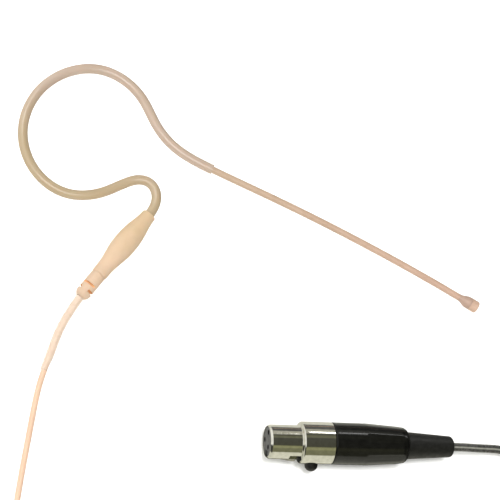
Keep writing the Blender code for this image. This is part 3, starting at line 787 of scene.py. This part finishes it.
# ------------------------------------------------------------------ headset
def build_loop():
    """Hollow ear-loop tube with softly rounded ends."""
    outer = refined(rounded([(0.0, 1.3), (0.0, LOOP_RADIUS), (MOUTH_AT, LOOP_RADIUS), (MOUTH_AT, 1.3)],
                            0.12), 0.7)
    inner = refined([(MOUTH_AT, LOOP_BORE), (0.0, LOOP_BORE)], 1.2)
    rings = along_route(SPINE, outer + inner, 32)
    return keep(skin("loop_tube", rings, "loop", closed=True), "root", "loop_tube_beige", "ear_loop_tube")


def boom_rings(start, end):
    """A hollow tube on the spine, with close rings where it bends."""
    bends = (MOUTH_AT, MOUTH_AT + LIFT_AT + BEND_REACH + 1.0)
    marks = [start]
    while marks[-1] < end - 0.01:
        step = 0.35 if bends[0] <= marks[-1] < bends[1] else 1.5
        marks.append(min(marks[-1] + step, end))
    outline = [(mark, BOOM_RADIUS) for mark in marks] + [(mark, BOOM_BORE) for mark in reversed(marks)]
    return along_route(SPINE, outline, 28)


def bend_at(piece, pivot_at):
    """Bake the piece's place into its mesh; the ends of the stretch round the pivot are found but not used."""
    start = SPINE.at(pivot_at - BEND_REACH) * MM
    end = SPINE.at(pivot_at + BEND_REACH) * MM
    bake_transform(piece)


def build_boom():
    """Boom skin in two lengths that meet between the two pivots."""
    swing, lift = MOUTH_AT + SWING_AT, MOUTH_AT + LIFT_AT
    seam = (swing + lift) / 2
    root_skin = skin("boom_skin_root", boom_rings(MOUTH_AT - STUB_DEPTH, seam), "boom", closed=True)
    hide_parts("boom_root_tube", "boom_neck_tube")
    bend_at(root_skin, swing)
    long_skin = skin("boom_skin_long", boom_rings(seam, SPINE.length), "boom", closed=True)
    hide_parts("boom_tube")
    bend_at(long_skin, lift)


def build_capsule():
    """Flared capsule housing and the rounded cap over its spigot."""
    tip = Vector(SPINE.at(SPINE.length))
    place = aimed(tip, JOINTS["cap_pull"]["axis"])
    bore, lead_bore = SPIGOT_RADIUS - 0.2, 0.45
    shoulder = CAP_START - 0.03
    flare = Route([(0.0, BOOM_RADIUS, 0.0), (0.8, 1.13, 0.0), (1.7, 1.45, 0.0), (2.5, 1.74, 0.0),
                   (FLARE_LENGTH, 1.86, 0.0), (shoulder, CAPSULE_RADIUS, 0.0)])
    outside = [tuple(flare.at(d)[:2]) for d in np.linspace(0.0, flare.length, 40)]
    inside = [(shoulder, SPIGOT_RADIUS), (SPIGOT_END, SPIGOT_RADIUS), (SPIGOT_END, bore),
              (CHAMBER_START, bore), (CHAMBER_START, lead_bore), (0.0, lead_bore)]
    shell = skin("capsule_shell", turned(place, outside + inside, 64), "capsule", closed=True, sharp=40.0)
    keep(shell, "boom", "capsule_beige", "capsule_housing")
    grip = SPIGOT_RADIUS + 0.06
    sound_hole, cap_floor = 0.55, 6.05
    cap = [(CAP_START, CAPSULE_RADIUS), (CAPSULE_LENGTH - 0.12, CAPSULE_RADIUS), (CAPSULE_LENGTH, 0.9),
           (CAPSULE_LENGTH - 0.02, sound_hole), (cap_floor, sound_hole), (cap_floor, grip),
           (CAP_START, grip)]
    cap = [cap[0]] + rounded(cap[:4], 0.95, 8)[1:] + cap[4:]
    cap[0] = (CAP_START, CAPSULE_RADIUS - 0.06)
    cap.insert(1, (CAP_START + 0.05, CAPSULE_RADIUS))
    keep(skin("capsule_cap_shell", turned(place, cap, 48), "cap", closed=True, sharp=40.0),
         "cap", "capsule_cap_beige", "capsule_cap")


def build_relief():
    """Spindle-shaped relief body and the slotted strain relief below it."""
    profile = Route([(along, radius, 0.0) for along, radius in RELIEF_PROFILE])
    waist = [tuple(profile.at(d)[:2]) for d in np.linspace(0.0, profile.length, 70)]
    outside = [(0.02, 1.98), (0.12, 2.08), (0.3, 2.13)] + waist
    outside += [(23.3, 2.34), (23.5, 2.28), (RELIEF_LENGTH, 2.16)]
    bore = 1.1
    socket_start, socket = 23.1, 1.92
    crimp_start, crimp_end, crimp_bore = 4.6, 14.6, 1.62
    inside = [(RELIEF_LENGTH, socket), (socket_start, socket), (socket_start, bore), (crimp_end, bore),
              (crimp_end, crimp_bore), (crimp_start, crimp_bore), (2.4, 1.72), (0.3, 1.86), (0.0, 1.93)]
    body = skin("relief_shell", turned(RELIEF, outside + inside, 64), "relief", closed=True)
    keep(body, "root", "relief_peach", "relief_body")

    rib_start = socket_start + 0.05
    ribs = [(rib_start, 1.86), (23.55, 2.02), (23.75, 2.16), (24.6, RIB_RADIUS), (28.8, RIB_RADIUS),
            (30.6, 2.28), (31.5, 2.0), (RIB_END + 0.2, 1.3)]
    ribs = refined(rounded(ribs, 0.6, 5), 0.16)
    ribs = ribs + [(RIB_END + 0.15, bore), (rib_start, bore)]

    def tab(along, angle):
        """A low rectangular pad on the upper side, next to the relief body."""
        off_centre = abs(math.degrees(angle) - 90.0 + 32.0)
        return 0.07 * (24.05 < along < 25.0) * (off_centre < 26.0)

    strain = skin("strain_relief_shell", turned(RELIEF, ribs, 120, tab), "relief", closed=True)
    slot_floor = 1.16
    reach = RIB_RADIUS + 0.6
    cutters = []
    # the slots are cut with deep orange walls of painted shade
    for along, width, turn in SLOTS:
        for side in (0.0, 180.0):
            place = RELIEF @ Matrix.Rotation(math.radians(SLOT_ROLL + turn + side), 4, "X")
            low, high = (along - width / 2, -reach, slot_floor), (along + width / 2, reach, reach)
            cutters.append(block(f"slot_{turn}_{side}", place, low, high, "slot"))
    carve(strain, cutters)
    keep(strain, "root", "relief_peach", "strain_relief")


def build_sleeve(lead):
    """Milky sleeve, pinched against the cable at its lower end."""
    start = 0.0
    pinch_length = 5.0

    def shape(distance, angle, radius):
        pinch = smooth_ramp((distance - (SLEEVE_END - pinch_length)) / pinch_length)
        size = radius - 0.20 * pinch
        shift = -0.17 * pinch
        return size * math.cos(angle) + shift, size * math.sin(angle)

    outer = refined([(start, SLEEVE_RADIUS), (SLEEVE_END, SLEEVE_RADIUS)], 0.8)
    inner = refined([(SLEEVE_END, SLEEVE_BORE), (start, SLEEVE_BORE)], 0.8)
    sleeve = skin("milky_sleeve", along_route(lead, outer + inner, 32, shape), "sleeve", closed=True)
    return keep(sleeve, "root", "sleeve_milky", "cable_sleeve")


def coil_points():
    """The coil's centreline: layers that spiral in and out by turns, climbing at each end."""
    points = []
    per_turn = 24
    per_layer = COIL_TURNS / COIL_LAYERS
    climb = 0.16
    for k in range(int(COIL_TURNS * per_turn) + 1):
        turn = k / per_turn
        layer = min(int(turn / per_layer), COIL_LAYERS - 1)
        share = turn / per_layer - layer
        if layer % 2:
            share = 1.0 - share
        radius = COIL_FIRST + (COIL_LAST - COIL_FIRST) * share
        angle = math.pi + 2 * math.pi * turn
        level = sum(smooth_ramp((turn - b * per_layer + climb / 2) / climb) for b in range(1, COIL_LAYERS))
        off_tie = math.degrees(angle) - TIE_ANGLE
        off_tie = (off_tie + 180.0) % 360.0 - 180.0
        lift = 0.42 * math.exp(-(off_tie / 26.0) ** 2)
        height = CORD_RADIUS + 0.01 + 2 * CORD_RADIUS * level + lift
        points.append((COIL_CENTRE[0] + radius * math.cos(angle), COIL_CENTRE[1] + radius * math.sin(angle),
                       height))
    return points


def build_cord():
    """One jacket from the strain relief through the coil to the plug."""
    whole = Route(LEAD_KNOTS + coil_points() + TAIL_KNOTS)
    count = 1000
    path = [whole.at(d) for d in np.linspace(0.0, whole.length, count)]
    curve = bpy.data.curves.new("lead_cord", "CURVE")
    curve.dimensions = "3D"
    curve.bevel_depth = CORD_RADIUS * MM
    curve.bevel_resolution = 5
    curve.use_fill_caps = True
    spline = curve.splines.new("POLY")
    spline.points.add(count - 1)
    for point, (x, y, z) in zip(spline.points, path):
        point.co = (x * MM, y * MM, max(z, CORD_RADIUS) * MM, 1.0)
    curve.materials.append(LOOKS["cable"])
    cord = bpy.data.objects.new("lead_cord", curve)
    bpy.context.scene.collection.objects.link(cord)
    return keep(cord, "root", "cable_peach", "cord_lead", "cord_coil", "cord_tail")


def build_dark_sleeve(tail):
    """Dark ridged sleeve over the last of the lead, running a little way into the boot."""
    ridges, ridge_height = 10, 0.06

    def shape(distance, angle, radius):
        size = radius + ridge_height * math.cos(ridges * angle)
        return size * math.cos(angle), size * math.sin(angle)

    start = tail.length - DARK_SLEEVE_LENGTH
    middle = DARK_SLEEVE_RADIUS - ridge_height
    outer = refined([(start, middle), (tail.length, middle)], 0.8)
    bore = 1.02
    inner = refined([(tail.length, bore), (start, bore)], 1.6)
    sides = 80
    rings = along_route(tail, outer, sides, shape) + along_route(tail, inner, sides)
    sleeve = skin("dark_sleeve", rings, "dark_sleeve", closed=True)
    # angles round the sleeve of the pale lines painted on as highlights
    highlight_angles = (84.0, 152.0, 230.0, 300.0)
    values = []
    for _ in rings:
        for k in range(sides):
            from_side = math.degrees(2 * math.pi * k / sides)
            gaps = [abs((from_side - highlight_angle + 180.0) % 360.0 - 180.0) for highlight_angle in highlight_angles]
            values.append(1.0 - smooth_ramp((min(gaps) - 4.0) / 12.0))
    sleeve.data.attributes.new("painted_highlight_lines", "FLOAT", "POINT").data.foreach_set("value", values)
    return keep(sleeve, "root", "sleeve_dark", "plug_cable_sleeve")


def build_tie():
    """Hook-and-loop strap round the coil's bundle, with its end pressed on over the top."""
    angle = math.radians(TIE_ANGLE)
    outward = Vector((math.cos(angle), math.sin(angle), 0.0))
    across = Vector((-math.sin(angle), math.cos(angle), 0.0))
    middle = (COIL_FIRST + COIL_LAST) / 2
    half_width = (COIL_FIRST - COIL_LAST) / 2 + CORD_RADIUS + 0.12
    low, high = 0.36, COIL_LAYERS * 2 * CORD_RADIUS + 0.44 + 0.12
    thickness = 0.34
    strap_half = 2.4
    loop = rounded([(-half_width, low), (half_width, low), (half_width, high), (-half_width, high)],
                   1.2, 6, closed=True)
    top = max(range(len(loop)), key=lambda i: (loop[i][1], loop[i][0]))
    loop = loop[top:] + loop[:top]
    loop.append(loop[0])
    loop = refined(loop, 0.7)
    centre = Vector((0.0, (low + high) / 2))
    overlap = [p for p in loop if p[0] > -half_width * 0.6][:10]
    path = [(Vector(p), 0.0) for p in loop] + [(Vector(p), 0.36) for p in overlap]
    rings = []
    for (here, extra), (after, _) in zip(path, path[1:] + path[-1:]):
        away = (here - centre).normalized()
        inner, outer = here + away * extra, here + away * (extra + thickness)
        corners = [(inner, -strap_half), (inner, strap_half), (outer, strap_half), (outer, -strap_half)]
        rings.append([Vector((*COIL_CENTRE, 0.0)) + outward * (middle + p.x) + across * w
                      + Vector((0, 0, max(p.y, 0.02))) for p, w in corners])
    return keep(skin("coil_tie", rings, "tie"), "root", "shell_black")


# ------------------------------------------------------------------ plug
def build_barrel():
    """Nickel barrel of two widths, with the latch's window and slot and the button's hole."""
    rim_chamfer = 0.62
    inner_step = STEP_AT + 0.7
    outline = [(0.0, FRONT_BORE + 0.12), (rim_chamfer, FRONT_RADIUS), (STEP_AT + 0.15, FRONT_RADIUS),
               (STEP_AT + 0.40, FRONT_RADIUS + 0.75), (STEP_AT + 0.60, REAR_RADIUS - 0.12),
               (STEP_AT + 0.95, REAR_RADIUS), (SHELL_END, REAR_RADIUS), (SHELL_END, REAR_BORE),
               (inner_step, REAR_BORE), (inner_step, FRONT_BORE), (0.0, FRONT_BORE)]
    outline = refined(rounded(outline, 0.14, 4, closed=True), 1.0)
    barrel = skin("plug_barrel", turned(PLUG, outline, 96), "nickel", closed=True)
    outside = -8.0
    # the window and nose slot are cut with near-black walls: painted shade inside them
    window = block("window", PLUG, (WINDOW_START, -WINDOW_HALF_WIDTH, outside),
                   (WINDOW_END, WINDOW_HALF_WIDTH, WINDOW_FLOOR), "hole")
    nose_slot = block("nose_slot", PLUG, (NOSE_SLOT_START, -NOSE_SLOT_HALF_WIDTH, outside),
                      (WINDOW_START + 0.5, NOSE_SLOT_HALF_WIDTH, NOSE_SLOT_FLOOR), "hole")
    upright = PLUG @ Matrix.Translation((BUTTON_AT, 0, 0)) @ Matrix.Rotation(-math.pi / 2, 4, "Y")
    clear, above, below = BUTTON_RADIUS + 0.12, -9.0, -3.0
    drill = [(above, 0.0), (above, clear), (below, clear), (below, 0.0)]
    hole = skin("hole", turned(upright, drill, 40), "nickel")
    carve(barrel, [window, nose_slot, hole])
    return keep(barrel, "root", "nickel", "plug_shell")


def build_insert():
    """Insulator with the latch's channel and pocket, a key notch and three contact holes."""
    flange, flange_start, flange_end = 4.95, STEP_AT + 0.95, STEP_AT + 1.6
    outline = [(FACE_DEPTH, 0.0), (FACE_DEPTH, INSERT_RADIUS), (flange_start, INSERT_RADIUS),
               (flange_start, flange), (flange_end, flange), (flange_end, 0.0)]
    outline = rounded(outline, 0.12)
    insert = skin("plug_insulator", turned(PLUG, outline, 96), "insert")
    ahead, behind, outside = -1.0, 13.0, -6.0
    channel_half, channel_floor = 1.25, -2.55
    pocket_half, pocket_floor = 3.25, -2.9
    # the hook pocket is cut with near-black walls: painted shade inside it
    cutters = [block("channel", PLUG, (ahead, -channel_half, outside),
                     (behind, channel_half, channel_floor), "insert"),
               block("hook_pocket", PLUG, (WINDOW_START - 0.2, -pocket_half, outside),
                     (WINDOW_END + 0.2, pocket_half, pocket_floor), "hole")]
    key_turn = PLUG @ Matrix.Rotation(math.radians(KEY_ANGLE), 4, "X")
    key_floor, key_half = 3.75, 0.4
    cutters.append(block("key", key_turn, (ahead, key_floor, -key_half), (behind, 6.0, key_half), "insert"))
    for number, degrees in enumerate(CONTACT_ANGLES, 1):
        angle = math.radians(degrees)
        offset = Vector((0, CONTACT_CENTRE[0] + CONTACT_CIRCLE * math.cos(angle),
                         CONTACT_CENTRE[1] + CONTACT_CIRCLE * math.sin(angle)))
        drill = [(ahead, 0.0), (ahead, CONTACT_HOLE), (behind, CONTACT_HOLE), (behind, 0.0)]
        rings = turned(PLUG @ Matrix.Translation(offset), drill, 28)
        # near-black walls in the contact holes: painted shade
        cutters.append(skin(f"contact_hole_{number}", rings, "hole"))
    carve(insert, cutters)
    return keep(insert, "root", "insert_grey", "plug_insert")


def build_latch():
    """Hooked spring lever and the domed button that pushes it in."""
    top = -(LEVER_HEIGHT + LEVER_THICKNESS / 2)
    low = -(LEVER_HEIGHT - LEVER_THICKNESS / 2)
    half_width = 1.05
    hook_tip = -5.5
    outline = [(7.0, low), (6.6, -4.3), (4.4, -4.5), (4.15, -4.72), (4.35, -4.98), (7.6, hook_tip),
               (8.5, hook_tip), (9.0, -4.9), (9.2, top), (LEVER_PIVOT + 0.3, top),
               (LEVER_PIVOT + 0.3, low)]
    outline = rounded(outline, 0.08, 3, closed=True)
    hook_starts = -4.2
    rings = []
    for across, sloped in ((-half_width, 0.6), (-0.5, 0.0), (0.5, 0.0), (half_width, 0.6)):
        ring = [(along, height + sloped * max(0.0, hook_starts - height)) for along, height in outline]
        rings.append([PLUG @ Vector((along, across, height)) for along, height in ring])
    lever = keep(skin("latch_spring", rings, "spring"), "latch_lever", "spring_steel", "latch_lever")

    dome_base = BUTTON_TOP - BUTTON_RADIUS
    collar_bottom, collar_top, collar = BUTTON_FOOT + 0.25, BUTTON_FOOT + 0.55, 2.2
    outline = [(BUTTON_FOOT, 0.0), (BUTTON_FOOT, 0.7), (collar_bottom, 0.95), (collar_bottom, collar),
               (collar_top, collar), (collar_top, BUTTON_RADIUS)]
    steps = 16
    for k in range(steps):
        angle = math.pi / 2 * k / steps
        outline.append((dome_base + BUTTON_RADIUS * math.sin(angle), BUTTON_RADIUS * math.cos(angle)))
    outline.append((BUTTON_TOP, 0.0))
    place = PLUG @ Matrix.Translation((BUTTON_AT, 0, 0)) @ Matrix.Rotation(math.pi / 2, 4, "Y")
    button = keep(skin("release_button", turned(place, outline, 48), "button"), "latch_button", "boot_black",
                  "latch_button")
    return [lever, button]


def build_grip():
    """Screwed-on body with six low grip panels, and the rubber boot behind it."""
    panels = 6
    panel_start, panel_end = BODY_TAPER + 0.6, BODY_END - 1.6

    def panel(along, angle):
        ends = smooth_ramp((along - panel_start) / 0.4) * smooth_ramp((panel_end - along) / 0.4)
        sector = 2 * math.pi / panels
        off_centre = abs((angle + sector / 2) % sector - sector / 2)
        edge = smooth_ramp((0.36 * sector - off_centre) / 0.06)
        return 0.10 * ends * edge

    spigot_start, spigot = 16.9, REAR_BORE - 0.15
    hollow_end, hollow, mouth = 40.6, 4.6, 3.95
    outside = [(spigot_start, hollow), (spigot_start, spigot), (BODY_START, spigot),
               (BODY_START, BODY_RADIUS), (BODY_TAPER, BODY_RADIUS),
               (BODY_END - 0.8, BODY_END_RADIUS + 0.03), (BODY_END, 4.6), (BODY_END, mouth),
               (hollow_end, mouth), (hollow_end, hollow)]
    outside = refined(rounded(outside, 0.5, 5, closed=True), 0.3)
    grip = skin("plug_grip", turned(PLUG, outside, 144, panel), "black", closed=True)
    keep(grip, "root", "shell_black", "plug_body")

    bore = 1.33
    flange_start, flange_end, flange, neck = 38.4, 40.2, 4.4, 3.75
    shoulder = BOOT_START - 0.25
    boot = [(flange_start, flange), (flange_end, flange), (flange_end, neck), (shoulder, neck),
            (shoulder, 4.02), (BOOT_END - 0.6, 3.10), (BOOT_END, 2.4), (BOOT_END, bore),
            (flange_start, bore)]
    boot = refined(rounded(boot, 0.55, 6, closed=True), 0.5)
    cover = skin("plug_boot_cover", turned(PLUG, boot, 72), "boot", closed=True)
    keep(cover, "root", "boot_black", "plug_boot")
    return [grip, cover]


# ------------------------------------------------------------------ carried-over nodes
CARRIED = {
    "ear_loop_wire": "steel", "ear_loop_lead": "cable", "boom_wire": "steel", "boom_lead": "cable",
    "electret_can": "can", "electret_board": "board", "capsule_screen": "felt", "crimp_ferrule": "copper",
    "cable_root": "cable", "contact_1": "gold", "contact_2": "gold", "contact_3": "gold",
    "plug_lead_1": "cable", "plug_lead_2": "cable", "plug_lead_3": "cable", "cable_clamp": "insert",
    "plug_cable_end": "cable",
}


def finish_nodes():
    """Give the inner pieces that stay as packed their own materials."""
    for name, look in CARRIED.items():
        mesh = NODES[name].data
        mesh.materials.clear()
        mesh.materials.append(LOOKS[look])


# ------------------------------------------------------------------ all of it
def light_group(name, pieces):
    group = bpy.data.collections.new(name)
    for piece in pieces:
        group.objects.link(piece)
    return group


def light_up(floor, plug):
    """Wide soft light on all, small lights on headset and plug; only the plug shades the paper."""
    shown = list(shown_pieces())
    headset = [piece for piece in shown if piece not in plug]
    softbox("ceiling", (0, 0, 1), 1500.0, (3000.0, 3000.0), 30.5, in_gloss=False,
            lit=light_group("all", shown))
    plug_shade = light_group("plug_shade", plug)
    paper = light_group("paper", [floor])
    for name, direction, size, watts in (("paper_top", (0, 0, 1), 3000.0, 40.0),
                                         ("paper_back", (0.0, 0.10, 1.0), 400.0, 19.0)):
        wash = softbox(name, direction, 1500.0, (size, size), watts, in_gloss=False, lit=paper)
        wash.light_linking.blocker_collection = plug_shade
    headset_group = light_group("headset", headset)
    softbox("headset_fill", (0.10, -0.55, 0.83), 600.0, (300.0, 300.0), 0.95, in_gloss=False,
            lit=headset_group)
    softbox("headset_glint", (-0.20, -0.16, 0.95), 600.0, (270.0, 270.0), 0.75, lit=headset_group)
    softbox("loop_sheen", (-0.35, 0.45, 0.82), 600.0, (220.0, 220.0), 0.45, lit=headset_group)
    strip_tilt = math.radians(54.0)
    softbox("plug_strip", (0.0, math.sin(strip_tilt), math.cos(strip_tilt)), 500.0, (300.0, 45.0), 0.27,
            target=(341.0, -70.0, 6.0), lit=light_group("plug", plug))


def main():
    bpy.context.scene.view_settings.view_transform = "Standard"
    place_camera()
    make_looks()
    floor = build_floor()
    lead, tail = Route(LEAD_KNOTS), Route(TAIL_KNOTS)
    cord = build_cord()
    tie = build_tie()
    sleeve = build_sleeve(lead)
    dark = build_dark_sleeve(tail)
    build_loop()
    build_boom()
    build_capsule()
    build_relief()
    plug = [build_barrel(), build_insert(), *build_latch(), *build_grip(), dark]
    finish_nodes()
    plug_nodes = [NODES[name] for name in CARRIED if name.startswith(("contact", "plug", "cable_clamp"))]
    for soft in (cord, tie):
        soft.visible_glossy = False
    build_world()
    light_up(floor, plug + plug_nodes)


main()
